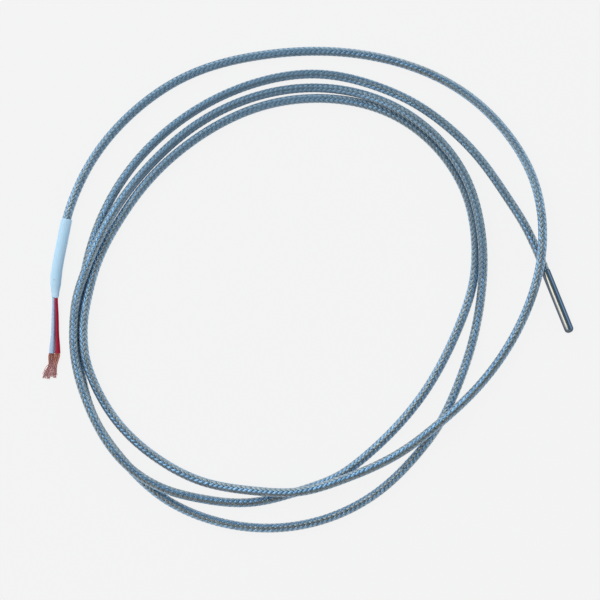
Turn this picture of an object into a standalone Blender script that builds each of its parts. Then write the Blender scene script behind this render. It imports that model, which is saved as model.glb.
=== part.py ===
"""Cable-type resistance temperature probe, lying in loose loops as it would on a bench.

The probe points along +X, +Z is up, and the origin is under the middle of the metal sheath.
Everything that belongs to the cable is laid out on the same surface, z = 0.
"""
from math import cos, pi, radians, sin

import bmesh
import bpy
import numpy as np
from mathutils import Vector

MM = 0.001

# Sheath: a deep-drawn tube with a closed tip
SHEATH_LENGTH = 30.0 * MM
SHEATH_DIAMETER = 4.0 * MM
SHEATH_WALL = 0.25 * MM
TIP_THICKNESS = 0.4 * MM
TIP_ROUNDING = 1.1 * MM
RIM_ROUNDING = 0.1 * MM

# Clearances: between pieces inside the bore, and between the ends that meet face to face
FIT = 0.1 * MM
END_GAP = 0.3 * MM

# Sensing element: a thin-film chip with two wires, bedded in a cup of cement at the tip
CHIP_LENGTH = 2.3 * MM
CHIP_WIDTH = 1.9 * MM
CHIP_THICKNESS = 0.55 * MM
BEAD_LENGTH = 1.1 * MM
BEAD_WIDTH = 1.5 * MM
BEAD_HEIGHT = 0.4 * MM
CHIP_ROUNDING = 0.06 * MM
BEAD_ROUNDING = 0.12 * MM
WIRE_DIAMETER = 0.2 * MM
WIRE_SPACING = 0.9 * MM
WIRE_LENGTH = 11.0 * MM
WIRE_PARALLEL_SHARE = 0.25
CEMENT_LENGTH = 5.5 * MM
CEMENT_WALL = 0.4 * MM
CHIP_DEPTH = 3.2 * MM

# Splices: a crimped ferrule under an insulating sleeve, one on each conductor
FERRULE_DIAMETER = 1.0 * MM
FERRULE_WALL = 0.15 * MM
FERRULE_LENGTH = 3.0 * MM
SPLICE_SLEEVE_WALL = 0.12 * MM
SPLICE_SLEEVE_LENGTH = 5.4 * MM
SPLICE_GRIP = 1.2 * MM

# Conductors: their front ends in the sheath, and the leads that leave the other end
LEAD_DIAMETER = 1.6 * MM
LEAD_GAP = 0.06 * MM
LEAD_SLANT = 46.0
CORE_DIAMETER = 0.5 * MM
POTTING_LENGTH = 1.5 * MM

# Cable and the shrink sleeve over its far end
CABLE_DIAMETER = 4.0 * MM
CABLE_STRAIGHT_RUN = 6.4 * MM
SLEEVE_FIT = 0.15 * MM
SLEEVE_WALL = 0.35 * MM
SLEEVE_NECK_WALL = 0.2 * MM
SLEEVE_OVERHANG = 5.0 * MM
SLEEVE_NECKING = [0.0, 0.0, 0.0, 0.0, 0.08, 0.65, 1.0]

# Copper strands at the cut end of each lead
STRAND_DIAMETER = 0.3 * MM
STRAND_PITCH = 0.42 * MM
STRAND_SPREAD = 2.6
STRAND_OPENING = 1.2
STRAND_CUTS = [0.18, 0.12, 0.06, 0.0, 0.18, 0.12, 0.06]

# How finely round pieces are cut, and how close points are welded
TURNED_STEPS = 32
SMALL_STEPS = 20
CORNER_STEPS = 5
EDGE_STEPS = 2
WIRE_ROUND_STEPS = 2
LEAD_ROUND_STEPS = 4
SLEEVE_ROUND_STEPS = 6
SAMPLES_PER_SPAN = 20
CABLE_POINTS_PER_TURN = 22
CABLE_MOUTH_MARGIN = 0.3
LEAD_POINTS = 27
STRAND_POINTS = 9
WELD = 0.001 * MM

# The layout lists below are in millimetres: right, up and height as seen from above, about the
# middle of the sheath. The sheath points this many degrees below the layout's right-hand side.
SHEATH_BEARING = 68.0
COIL_MIDDLE = (-116.0, 5.2)

# First loop: away from the sheath, along the top, down the left side and round the bottom
FIRST_LOOP = [
    (-16.2, 36.7, 2.0), (-22.1, 45.9, 2.0), (-34.7, 63.7, 2.0), (-52.85, 81.35, 2.0),
    (-66.8, 90.5, 2.0), (-80.0, 96.3, 2.0), (-107.0, 102.3, 2.0), (-134.0, 98.9, 2.0),
    (-161.0, 87.3, 2.0), (-195.9, 54.7, 2.0), (-211.6, 18.7, 2.0), (-214.5, 0.7, 2.0),
    (-215.5, -17.3, 2.0), (-213.9, -35.3, 2.0), (-208.1, -53.3, 2.0), (-195.7, -71.3, 2.0),
    (-179.0, -87.2, 2.0), (-158.8, -97.3, 2.0), (-133.1, -101.9, 2.0), (-107.0, -98.6, 2.0),
    (-80.0, -85.0, 2.0), (-62.2, -67.4, 2.0), (-53.5, -55.5, 2.0), (-46.5, -41.4, 2.0),
    (-38.2, -17.3, 2.0), (-34.8, 0.7, 2.5),
]
# Second loop: leans on the third on the right, then lies beside the third on top of the first
SECOND_LOOP = [
    (-33.8, 17.8, 4.9), (-35.6, 36.7, 5.5), (-41.2, 54.7, 5.6), (-53.7, 72.7, 5.5),
    (-71.0, 86.1, 5.0), (-107.0, 96.1, 2.1), (-134.0, 92.8, 2.0), (-161.0, 80.6, 2.0),
    (-181.3, 63.7, 2.1), (-196.2, 45.7, 3.3), (-206.4, 27.7, 5.8), (-213.7, 9.7, 6.25),
    (-216.3, 0.7, 6.15), (-217.4, -8.3, 5.9), (-217.6, -17.3, 5.75), (-216.8, -26.3, 5.75),
    (-211.8, -44.3, 6.15), (-195.7, -71.3, 6.15), (-179.0, -83.15, 5.3), (-161.0, -88.55, 2.7),
    (-138.5, -90.4, 2.0), (-116.0, -85.2, 2.0), (-98.0, -78.1, 2.0), (-87.5, -70.5, 2.0),
    (-71.0, -54.7, 2.0), (-60.4, -41.4, 2.0), (-51.4, -26.3, 2.0), (-43.3, -8.3, 2.0),
]
# Third loop: the innermost one, up beside the second on the left, and over it at the bottom
THIRD_LOOP = [
    (-37.9, 9.7, 2.0), (-37.0, 25.4, 2.0), (-40.4, 45.7, 2.0), (-71.0, 82.4, 2.0),
    (-107.0, 91.4, 2.0), (-134.0, 87.6, 2.0), (-161.0, 74.5, 2.0), (-183.9, 54.7, 2.0),
    (-197.2, 36.7, 2.0), (-206.6, 18.7, 3.2), (-211.6, 0.7, 5.05), (-213.0, -8.3, 5.5),
    (-213.15, -17.3, 5.6), (-212.0, -26.3, 5.3), (-209.1, -35.2, 4.2), (-198.9, -53.3, 2.2),
    (-178.9, -71.5, 2.0), (-161.0, -80.6, 2.5), (-136.3, -85.0, 5.0), (-116.0, -85.2, 6.5),
    (-98.0, -80.2, 6.2), (-71.0, -67.8, 5.5), (-54.6, -55.5, 6.5), (-37.3, -39.6, 5.2),
    (-20.7, -17.3, 3.4),
]
# Last part loop: over the cable behind the sheath, along the top and down to the shrink sleeve
LAST_LOOP = [
    (-12.5, 0.7, 5.2), (-7.9, 19.6, 6.6), (-7.3, 34.4, 6.0), (-11.1, 54.8, 3.6),
    (-20.5, 72.5, 2.2), (-44.0, 95.2, 2.0), (-71.0, 107.4, 2.0), (-102.5, 112.5, 2.0),
    (-134.0, 110.7, 2.0), (-165.5, 102.1, 2.0), (-192.5, 83.9, 2.0), (-209.4, 63.7, 2.0),
    (-218.2, 45.7, 2.15),
]
# Inside the shrink sleeve: its mouth, and the middle and end of the cable in it
IN_SLEEVE = [(-220.9, 37.2, 2.5), (-223.1, 26.1, 2.5), (-225.0, 16.2, 2.5)]
# The sleeve beyond the cable's end, down to the neck where the leads come out
SLEEVE_TAPER = [
    (-225.6, 12.0, 2.45), (-225.9, 8.0, 2.35), (-226.1, 4.0, 2.25), (-226.2, 1.7, 2.2),
]
# The two leads from the neck to their cut ends
WHITE_ROUTE = [
    (-226.9, -2.9, 1.25), (-227.1, -8.3, 0.9), (-227.25, -15.1, 0.8), (-227.6, -19.6, 0.8),
    (-227.9, -23.3, 0.8),
]
RED_ROUTE = [
    (-225.5, -2.9, 2.35), (-225.3, -8.3, 1.5), (-225.1, -15.1, 0.85), (-225.1, -19.6, 0.8),
    (-224.8, -23.3, 0.8),
]
# The middles of the two fans of copper strands
WHITE_FAN = [
    (-228.1, -25.9, 0.75), (-228.8, -29.0, 0.65), (-229.9, -32.2, 0.58), (-230.7, -34.7, 0.55),
]
RED_FAN = [
    (-225.4, -25.9, 0.75), (-226.1, -29.0, 0.65), (-226.9, -31.8, 0.58), (-227.5, -34.1, 0.55),
]

# Worked out from the sizes above
SHEATH_RADIUS = SHEATH_DIAMETER / 2
BORE_RADIUS = SHEATH_RADIUS - SHEATH_WALL
SHEATH_REAR = -SHEATH_LENGTH / 2
CONDUCTOR_SIDE = (LEAD_DIAMETER + LEAD_GAP) / 2
CONDUCTORS = {"white": 1, "red": -1}
CHIP_REAR = -SHEATH_REAR - TIP_THICKNESS - FIT - CHIP_DEPTH - CHIP_LENGTH
WIRE_REAR = CHIP_REAR - FIT - WIRE_LENGTH
FERRULE_FRONT = WIRE_REAR + SPLICE_GRIP
FERRULE_REAR = FERRULE_FRONT - FERRULE_LENGTH
SPLICE_SLEEVE_REAR = (FERRULE_FRONT + FERRULE_REAR - SPLICE_SLEEVE_LENGTH) / 2
POTTING_FRONT = SPLICE_SLEEVE_REAR - FIT
POTTING_REAR = POTTING_FRONT - POTTING_LENGTH
FRONT_LEAD_FRONT = POTTING_REAR - FIT

part = bpy.data.collections.new("rtd_temperature_probe")
cutters = bpy.data.collections.new("cutters")


def clear_scene():
    for obj in list(bpy.data.objects):
        bpy.data.objects.remove(obj, do_unlink=True)
    for group in (part, cutters):
        bpy.context.scene.collection.children.link(group)


def make_material(name, colour, roughness, metallic=0.0):
    material = bpy.data.materials.new(name)
    material.use_nodes = True
    shader = material.node_tree.nodes["Principled BSDF"]
    shader.inputs["Base Color"].default_value = (*colour, 1.0)
    shader.inputs["Roughness"].default_value = roughness
    shader.inputs["Metallic"].default_value = metallic
    material.diffuse_color = (*colour, 1.0)
    return material


def make_materials():
    return {
        "steel": make_material("polished_steel", (0.50, 0.55, 0.60), 0.18, 1.0),
        "braid": make_material("steel_braid", (0.36, 0.44, 0.50), 0.38, 1.0),
        "sleeve": make_material("pale_shrink_sleeve", (0.62, 0.78, 0.93), 0.45),
        "white": make_material("white_insulation", (0.68, 0.74, 0.86), 0.5),
        "red": make_material("red_insulation", (0.48, 0.02, 0.06), 0.45),
        "copper": make_material("bare_copper", (0.60, 0.26, 0.18), 0.35, 1.0),
        "ceramic": make_material("white_ceramic", (0.88, 0.87, 0.84), 0.6),
        "glass": make_material("sealing_glass", (0.45, 0.62, 0.55), 0.2),
        "wire": make_material("platinum_wire", (0.72, 0.71, 0.69), 0.25, 1.0),
        "cement": make_material("ceramic_cement", (0.70, 0.67, 0.60), 0.9),
        "ferrule": make_material("tinned_ferrule", (0.70, 0.71, 0.72), 0.3, 1.0),
        "insulator": make_material("clear_splice_sleeve", (0.80, 0.78, 0.70), 0.4),
        "potting": make_material("potting_resin", (0.10, 0.10, 0.11), 0.5),
    }


def add(obj, material):
    """Put a new object with its material into the part's collection."""
    obj.data.materials.append(material)
    part.objects.link(obj)
    return obj


def corner(middle, radius, start, end):
    """Points of a rounded corner in a turned profile, angles in degrees from the radius side."""
    angles = [radians(start + (end - start) * i / CORNER_STEPS) for i in range(CORNER_STEPS + 1)]
    return [(middle[0] + radius * cos(a), middle[1] + radius * sin(a)) for a in angles]


def turned(name, profile, material, x=0.0, y=0.0, steps=TURNED_STEPS, ring=False):
    """A piece turned about the probe's axis, from (radius, place along +X) points.

    The profile runs down its outer side from front to rear. A ring has a closed profile.
    """
    mesh = bpy.data.meshes.new(name)
    edges = [(i, i + 1) for i in range(len(profile) - 1)]
    if ring:
        edges.append((len(profile) - 1, 0))
    mesh.from_pydata([(r, 0.0, h) for r, h in profile], edges, [])
    obj = add(bpy.data.objects.new(name, mesh), material)
    screw = obj.modifiers.new("turn", "SCREW")
    screw.axis = "Z"
    screw.angle = 2 * pi
    screw.steps = steps
    screw.render_steps = steps
    screw.use_merge_vertices = True
    screw.merge_threshold = WELD
    screw.use_smooth_shade = True
    obj.location = (x, y, SHEATH_RADIUS)
    obj.rotation_euler = (0.0, pi / 2, 0.0)
    return obj


def tube_ring(name, outer, inner, front, rear, side, material):
    """A plain sleeve round one conductor, between two places along the probe."""
    profile = [(outer, front), (outer, rear), (inner, rear), (inner, front)]
    return turned(name, profile, material, y=side, steps=SMALL_STEPS, ring=True)


def disc(name, radius, front, rear, side, material):
    """A plain solid cylinder along the probe, between two places."""
    profile = [(0.0, front), (radius, front), (radius, rear), (0.0, rear)]
    return turned(name, profile, material, y=side)


def rod(name, points, diameter, material, roundness=WIRE_ROUND_STEPS):
    """A round wire or cable through the given points, with filled ends."""
    curve = bpy.data.curves.new(name, "CURVE")
    curve.dimensions = "3D"
    curve.bevel_depth = diameter / 2
    curve.bevel_resolution = roundness
    curve.use_fill_caps = True
    curve.render_resolution_u = 0
    spline = curve.splines.new("POLY")
    spline.points.add(len(points) - 1)
    for spline_point, point in zip(spline.points, points):
        spline_point.co = (*point, 1.0)
    return add(bpy.data.objects.new(name, curve), material)


def to_mesh(obj):
    """Replace a curve object by its evaluated mesh with the end caps welded on."""
    bpy.context.view_layer.update()
    evaluated = obj.evaluated_get(bpy.context.evaluated_depsgraph_get())
    mesh = bpy.data.meshes.new_from_object(evaluated)
    work = bmesh.new()
    work.from_mesh(mesh)
    bmesh.ops.remove_doubles(work, verts=work.verts, dist=WELD)
    bmesh.ops.recalc_face_normals(work, faces=work.faces)
    work.to_mesh(mesh)
    work.free()
    name = obj.name
    place = obj.matrix_world.copy()
    bpy.data.objects.remove(obj, do_unlink=True)
    solid = bpy.data.objects.new(name, mesh)
    solid.matrix_world = place
    part.objects.link(solid)
    return solid


def cut(obj, cutter):
    """Take one object's shape out of another, and keep the cutter out of sight."""
    for group in list(cutter.users_collection):
        group.objects.unlink(cutter)
    cutters.objects.link(cutter)
    cutter.hide_render = True
    cutter.display_type = "WIRE"
    boolean = obj.modifiers.new("cut_" + cutter.name, "BOOLEAN")
    boolean.operation = "DIFFERENCE"
    boolean.solver = "EXACT"
    boolean.object = cutter


def rounded_box(name, size, middle, rounding, material):
    """A small block with rounded edges."""
    work = bmesh.new()
    bmesh.ops.create_cube(work, size=1.0)
    bmesh.ops.scale(work, vec=size, verts=work.verts)
    mesh = bpy.data.meshes.new(name)
    work.to_mesh(mesh)
    work.free()
    obj = add(bpy.data.objects.new(name, mesh), material)
    bevel = obj.modifiers.new("rounded_edges", "BEVEL")
    bevel.width = rounding
    bevel.segments = EDGE_STEPS
    obj.location = middle
    return obj


def lay_out(points):
    """Turn layout points in millimetres into places in the probe's own frame."""
    turn = radians(SHEATH_BEARING)
    placed = []
    for right, up, height in points:
        x = right * cos(turn) - up * sin(turn)
        y = right * sin(turn) + up * cos(turn)
        placed.append(Vector((x, y, height)) * MM)
    return placed


def smooth_curve(points, per_span=SAMPLES_PER_SPAN):
    """A natural cubic spline through the points, as an array of places along it."""
    knots = np.array([tuple(p) for p in points])
    steps = np.linalg.norm(np.diff(knots, axis=0), axis=1)
    count = len(knots)
    matrix = np.eye(count)
    target = np.zeros((count, 3))
    for i in range(1, count - 1):
        before, after = steps[i - 1], steps[i]
        matrix[i, i - 1:i + 2] = before, 2 * (before + after), after
        target[i] = 6 * ((knots[i + 1] - knots[i]) / after - (knots[i] - knots[i - 1]) / before)
    bends = np.linalg.solve(matrix, target)
    spans = []
    for i, step in enumerate(steps):
        s = np.linspace(0.0, step, per_span, endpoint=False)[:, None]
        cubic = (bends[i] * (step - s) ** 3 + bends[i + 1] * s ** 3) / (6 * step)
        start = (knots[i] / step - bends[i] * step / 6) * (step - s)
        end = (knots[i + 1] / step - bends[i + 1] * step / 6) * s
        spans.append(cubic + start + end)
    return np.vstack(spans + [knots[-1:]])


def evenly_spaced(points, count):
    """The given number of places at even distances along a curve."""
    lengths = np.linalg.norm(np.diff(points, axis=0), axis=1)
    along = np.concatenate([[0.0], np.cumsum(lengths)])
    wanted = np.linspace(0.0, along[-1], count)
    return np.column_stack([np.interp(wanted, along, points[:, k]) for k in range(3)])


def round_the_coil(curve, per_turn):
    """Places where a curve passes even bearings round the coil's middle.

    Loops that lie side by side then bend at the same bearings, and keep their spacing.
    """
    middle = np.array(lay_out([(*COIL_MIDDLE, 0.0)])[0])
    bearings = np.unwrap(np.arctan2(curve[:, 1] - middle[1], curve[:, 0] - middle[0]))
    step = 2 * pi / per_turn
    wanted = np.arange(bearings[0] + step, bearings[-1] - CABLE_MOUTH_MARGIN * step, step)
    return np.column_stack([np.interp(wanted, bearings, curve[:, k]) for k in range(3)])


def cable_route():
    """The cable's own points: straight out of the sheath, then round the loops."""
    leave = SHEATH_REAR - END_GAP
    exit_points = [Vector((leave - run, 0.0, SHEATH_RADIUS)) for run in (0.0, CABLE_STRAIGHT_RUN)]
    loops = FIRST_LOOP + SECOND_LOOP + THIRD_LOOP + LAST_LOOP
    return exit_points + lay_out(loops + IN_SLEEVE)


def build_sheath(materials):
    front = SHEATH_LENGTH / 2
    inner_rounding = TIP_ROUNDING - SHEATH_WALL
    inner_front = front - TIP_THICKNESS
    profile = [(0.0, front)]
    profile += corner((SHEATH_RADIUS - TIP_ROUNDING, front - TIP_ROUNDING), TIP_ROUNDING, 90, 0)
    profile += corner((SHEATH_RADIUS - RIM_ROUNDING, SHEATH_REAR + RIM_ROUNDING), RIM_ROUNDING, 0, -90)
    profile += corner((BORE_RADIUS + RIM_ROUNDING, SHEATH_REAR + RIM_ROUNDING), RIM_ROUNDING, -90, -180)
    profile += corner((BORE_RADIUS - inner_rounding, inner_front - inner_rounding), inner_rounding, 0, 90)
    profile.append((0.0, inner_front))
    turned("sheath", profile, materials["steel"])


def build_tip_cement(materials):
    """The cup of cement that holds the chip against the closed end."""
    outer = BORE_RADIUS - FIT
    rounding = TIP_ROUNDING - SHEATH_WALL
    front = SHEATH_LENGTH / 2 - TIP_THICKNESS - FIT
    rear = front - CEMENT_LENGTH
    pocket = outer - CEMENT_WALL
    pocket_front = CHIP_REAR + CHIP_LENGTH + FIT
    profile = [(0.0, front)]
    profile += corner((outer - rounding, front - rounding), rounding, 90, 0)
    profile += [(outer, rear), (pocket, rear), (pocket, pocket_front), (0.0, pocket_front)]
    turned("tip_cement", profile, materials["cement"])


def build_element(materials):
    """The thin-film chip, the glass bead that anchors its wires, and the wires."""
    stack = CHIP_THICKNESS + FIT + BEAD_HEIGHT
    chip_z = SHEATH_RADIUS - (stack - CHIP_THICKNESS) / 2
    bead_z = SHEATH_RADIUS + (stack - BEAD_HEIGHT) / 2
    chip_size = (CHIP_LENGTH, CHIP_WIDTH, CHIP_THICKNESS)
    bead_size = (BEAD_LENGTH, BEAD_WIDTH, BEAD_HEIGHT)
    chip_middle = (CHIP_REAR + CHIP_LENGTH / 2, 0.0, chip_z)
    bead_middle = (CHIP_REAR + BEAD_LENGTH / 2, 0.0, bead_z)
    rounded_box("element_chip", chip_size, chip_middle, CHIP_ROUNDING, materials["ceramic"])
    rounded_box("element_bead", bead_size, bead_middle, BEAD_ROUNDING, materials["glass"])
    for side_name, side in CONDUCTORS.items():
        start = Vector((CHIP_REAR - FIT, side * WIRE_SPACING / 2, bead_z))
        parallel = WIRE_PARALLEL_SHARE * WIRE_LENGTH
        spread = Vector((CHIP_REAR - parallel, side * WIRE_SPACING / 2, bead_z))
        straight = Vector((FERRULE_FRONT + SPLICE_GRIP, side * CONDUCTOR_SIDE, SHEATH_RADIUS))
        end = Vector((WIRE_REAR, side * CONDUCTOR_SIDE, SHEATH_RADIUS))
        curve = evenly_spaced(smooth_curve([start, spread, straight, end]), STRAND_POINTS)
        rod("element_wire_" + side_name, curve, WIRE_DIAMETER, materials["wire"])


def build_splices(materials):
    """Ferrules that join the chip's wires to the conductors, each under its own sleeve."""
    outer = FERRULE_DIAMETER / 2
    sleeve_inner = outer + FIT
    sleeve_front = SPLICE_SLEEVE_REAR + SPLICE_SLEEVE_LENGTH
    for side_name, side in CONDUCTORS.items():
        y = side * CONDUCTOR_SIDE
        tube_ring("ferrule_" + side_name, outer, outer - FERRULE_WALL, FERRULE_FRONT,
                  FERRULE_REAR, y, materials["ferrule"])
        tube_ring("splice_sleeve_" + side_name, sleeve_inner + SPLICE_SLEEVE_WALL, sleeve_inner,
                  sleeve_front, SPLICE_SLEEVE_REAR, y, materials["insulator"])


def build_front_conductors(materials):
    """The front ends of the two conductors, and the plug of resin round their bare cores."""
    core_radius = CORE_DIAMETER / 2
    hole_radius = core_radius + FIT
    core_front = FERRULE_REAR + SPLICE_GRIP
    plug = disc("rear_potting", BORE_RADIUS - FIT, POTTING_FRONT, POTTING_REAR, 0.0,
                materials["potting"])
    for side_name, side in CONDUCTORS.items():
        y = side * CONDUCTOR_SIDE
        tube_ring("front_lead_" + side_name, LEAD_DIAMETER / 2, hole_radius,
                  FRONT_LEAD_FRONT, SHEATH_REAR, y, materials[side_name])
        ends = [Vector((x, y, SHEATH_RADIUS)) for x in (SHEATH_REAR, core_front)]
        rod("front_core_" + side_name, ends, CORE_DIAMETER, materials["copper"])
        hole = disc("potting_hole_" + side_name, hole_radius, POTTING_FRONT + POTTING_LENGTH,
                    POTTING_REAR - POTTING_LENGTH, y, materials["potting"])
        cut(plug, hole)


def build_cable(materials):
    curve = smooth_curve(cable_route())
    curve[:, 2] = np.maximum(curve[:, 2], CABLE_DIAMETER / 2)
    in_sleeve = lay_out(IN_SLEEVE)
    mouth = np.linalg.norm(curve - np.array(in_sleeve[0]), axis=1).argmin()
    points = [curve[0], *round_the_coil(curve[:mouth + 1], CABLE_POINTS_PER_TURN), *in_sleeve]
    rod("cable", points, CABLE_DIAMETER, materials["braid"])


def tapered_tube(name, points, radii, material):
    """A solid tube whose radius changes from point to point, as a mesh."""
    obj = rod(name, points, 2 * radii[0], material, SLEEVE_ROUND_STEPS)
    for point, radius in zip(obj.data.splines[0].points, radii):
        point.radius = radius / radii[0]
    return to_mesh(obj)


def build_shrink_sleeve(materials):
    """Recovered shrink sleeve: tight on the cable, necked down on the two leads."""
    points = lay_out(IN_SLEEVE + SLEEVE_TAPER)
    on_cable = CABLE_DIAMETER / 2 + SLEEVE_FIT
    on_leads = LEAD_DIAMETER + LEAD_GAP / 2 + FIT
    bore = [on_cable + (on_leads - on_cable) * share for share in SLEEVE_NECKING]
    walls = [SLEEVE_WALL + (SLEEVE_NECK_WALL - SLEEVE_WALL) * share for share in SLEEVE_NECKING]
    outer = [radius + wall for radius, wall in zip(bore, walls)]
    sleeve = tapered_tube("shrink_sleeve", points, outer, materials["sleeve"])
    before = points[0] + (points[0] - points[1]).normalized() * SLEEVE_OVERHANG
    after = points[-1] + (points[-1] - points[-2]).normalized() * SLEEVE_OVERHANG
    bore_points = [before, *points, after]
    bore_radii = [bore[0], *bore, bore[-1]]
    cut(sleeve, tapered_tube("sleeve_bore", bore_points, bore_radii, materials["sleeve"]))


def lead_route(side, route):
    """One lead's points, from the cable's end through the sleeve's neck to the cut end.

    In the sleeve the two leads lie against each other on a slant, the white one lower.
    """
    slant = radians(LEAD_SLANT)
    half = (LEAD_DIAMETER + LEAD_GAP) / 2
    across = -side * half * cos(slant) / MM
    above = -side * half * sin(slant) / MM
    inside = [IN_SLEEVE[-1]] + SLEEVE_TAPER
    beside = [(right + across, up, height + above) for right, up, height in inside]
    points = lay_out(beside + route)
    first = (points[1] - points[0]).normalized()
    points[0] = points[0] + first * END_GAP
    return points


def build_leads(materials):
    routes = {"white": WHITE_ROUTE, "red": RED_ROUTE}
    for name, side in CONDUCTORS.items():
        curve = smooth_curve(lead_route(side, routes[name]))
        curve[:, 2] = np.maximum(curve[:, 2], LEAD_DIAMETER / 2)
        points = evenly_spaced(curve, LEAD_POINTS)
        rod("lead_" + name, points, LEAD_DIAMETER, materials[name], LEAD_ROUND_STEPS)


def strand_slots():
    """Places of seven strands in a round bundle, in pitches across and up."""
    rise = sin(radians(60.0))
    slots = [(0.0, 0.0), (-1.0, 0.0), (1.0, 0.0)]
    slots += [(side * 0.5, level * rise) for side in (-1, 1) for level in (-1, 1)]
    return slots


def build_strands(materials):
    """Seven copper strands out of each lead, which fan out flat towards their ends."""
    fans = {"white": (WHITE_ROUTE, WHITE_FAN), "red": (RED_ROUTE, RED_FAN)}
    for name, (route, fan) in fans.items():
        middle = lay_out(route[-2:] + fan)
        leave = (middle[1] - middle[0]).normalized()
        start = middle[1] + leave * END_GAP
        curve = smooth_curve([start] + middle[2:])
        for number, ((across, up), shorter) in enumerate(zip(strand_slots(), STRAND_CUTS), start=1):
            kept = curve[:int(len(curve) * (1.0 - shorter))]
            strand = evenly_spaced(kept, STRAND_POINTS)
            points = []
            for i, place in enumerate(strand):
                along = Vector(strand[min(i + 1, len(strand) - 1)] - strand[max(i - 1, 0)])
                sideways = along.cross(Vector((0.0, 0.0, 1.0))).normalized()
                opened = 1.0 + (STRAND_SPREAD - 1.0) * (i / (STRAND_POINTS - 1)) ** STRAND_OPENING
                offset = sideways * across * opened + Vector((0.0, 0.0, up))
                points.append(Vector(place) + offset * STRAND_PITCH)
            rod(f"strand_{name}_{number}", points, STRAND_DIAMETER, materials["copper"])


def shade_round():
    for obj in part.objects:
        if obj.type == "MESH":
            obj.data.shade_smooth()


def main():
    clear_scene()
    materials = make_materials()
    build_sheath(materials)
    build_tip_cement(materials)
    build_element(materials)
    build_splices(materials)
    build_front_conductors(materials)
    build_cable(materials)
    build_shrink_sleeve(materials)
    build_leads(materials)
    build_strands(materials)
    shade_round()


main()
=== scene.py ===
"""Finish and look of a cable-type resistance temperature probe.

A polished sheath, a long cable under a fine steel braid, a pale shrink sleeve over the braid's end,
a white and a red lead, and their bare copper strands. All of it lies on one pale surface.
"""
from math import cos, pi, radians, sin, tau

import bpy
import numpy as np
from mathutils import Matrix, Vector


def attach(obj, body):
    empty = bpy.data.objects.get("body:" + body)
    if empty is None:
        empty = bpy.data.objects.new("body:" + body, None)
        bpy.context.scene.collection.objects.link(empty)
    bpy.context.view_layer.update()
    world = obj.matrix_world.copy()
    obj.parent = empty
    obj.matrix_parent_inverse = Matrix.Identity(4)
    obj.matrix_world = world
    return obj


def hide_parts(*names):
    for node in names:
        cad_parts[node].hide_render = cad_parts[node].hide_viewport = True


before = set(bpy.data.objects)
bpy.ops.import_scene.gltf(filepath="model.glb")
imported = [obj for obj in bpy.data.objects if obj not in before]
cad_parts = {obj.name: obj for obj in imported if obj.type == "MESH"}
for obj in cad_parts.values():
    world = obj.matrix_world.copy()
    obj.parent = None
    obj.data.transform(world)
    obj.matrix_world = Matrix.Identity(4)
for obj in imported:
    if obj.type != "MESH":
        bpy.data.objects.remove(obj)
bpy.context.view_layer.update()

MM = 0.001

# The layout lists are in millimetres: right, up and height as seen from above, about the middle of
# the sheath. The sheath points this many degrees below the layout's right-hand side.
SHEATH_BEARING = 68.0

# First loop: away from the sheath, along the top, down the left side and round the bottom
FIRST_LOOP = [
    (-16.2, 36.7, 2.0), (-22.1, 45.9, 2.0), (-34.7, 63.7, 2.0), (-52.85, 81.35, 2.0),
    (-66.8, 90.5, 2.0), (-80.0, 96.3, 2.0), (-107.0, 102.3, 2.0), (-134.0, 98.9, 2.0),
    (-161.0, 87.3, 2.0), (-195.9, 54.7, 2.0), (-211.6, 18.7, 2.0), (-214.5, 0.7, 2.0),
    (-215.5, -17.3, 2.0), (-213.9, -35.3, 2.0), (-208.1, -53.3, 2.0), (-195.7, -71.3, 2.0),
    (-179.0, -87.2, 2.0), (-158.8, -97.3, 2.0), (-133.1, -101.9, 2.0), (-107.0, -98.6, 2.0),
    (-80.0, -85.0, 2.0), (-62.2, -67.4, 2.0), (-53.5, -55.5, 2.0), (-46.5, -41.4, 2.0),
    (-38.2, -17.3, 2.0), (-34.8, 0.7, 2.5),
]
# Second loop: leans on the third on the right, then lies beside the third on top of the first
SECOND_LOOP = [
    (-33.8, 17.8, 4.9), (-35.6, 36.7, 5.5), (-41.2, 54.7, 5.6), (-53.7, 72.7, 5.5),
    (-71.0, 86.1, 5.0), (-107.0, 96.1, 2.1), (-134.0, 92.8, 2.0), (-161.0, 80.6, 2.0),
    (-181.3, 63.7, 2.1), (-196.2, 45.7, 3.3), (-206.4, 27.7, 5.8), (-213.7, 9.7, 6.25),
    (-216.3, 0.7, 6.15), (-217.4, -8.3, 5.9), (-217.6, -17.3, 5.75), (-216.8, -26.3, 5.75),
    (-211.8, -44.3, 6.15), (-195.7, -71.3, 6.15), (-179.0, -83.15, 5.3), (-161.0, -88.55, 2.7),
    (-138.5, -90.4, 2.0), (-116.0, -85.2, 2.0), (-98.0, -78.1, 2.0), (-87.5, -70.5, 2.0),
    (-71.0, -54.7, 2.0), (-60.4, -41.4, 2.0), (-51.4, -26.3, 2.0), (-43.3, -8.3, 2.0),
]
# Third loop: the innermost one, up beside the second on the left, and over it at the bottom
THIRD_LOOP = [
    (-37.9, 9.7, 2.0), (-37.0, 25.4, 2.0), (-40.4, 45.7, 2.0), (-71.0, 82.4, 2.0),
    (-107.0, 91.4, 2.0), (-134.0, 87.6, 2.0), (-161.0, 74.5, 2.0), (-183.9, 54.7, 2.0),
    (-197.2, 36.7, 2.0), (-206.6, 18.7, 3.2), (-211.6, 0.7, 5.05), (-213.0, -8.3, 5.5),
    (-213.15, -17.3, 5.6), (-212.0, -26.3, 5.3), (-209.1, -35.2, 4.2), (-198.9, -53.3, 2.2),
    (-178.9, -71.5, 2.0), (-161.0, -80.6, 2.5), (-136.3, -85.0, 5.0), (-116.0, -85.2, 6.5),
    (-98.0, -80.2, 6.2), (-71.0, -67.8, 5.5), (-54.6, -55.5, 6.5), (-37.3, -39.6, 5.2),
    (-20.7, -17.3, 3.4),
]
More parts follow.
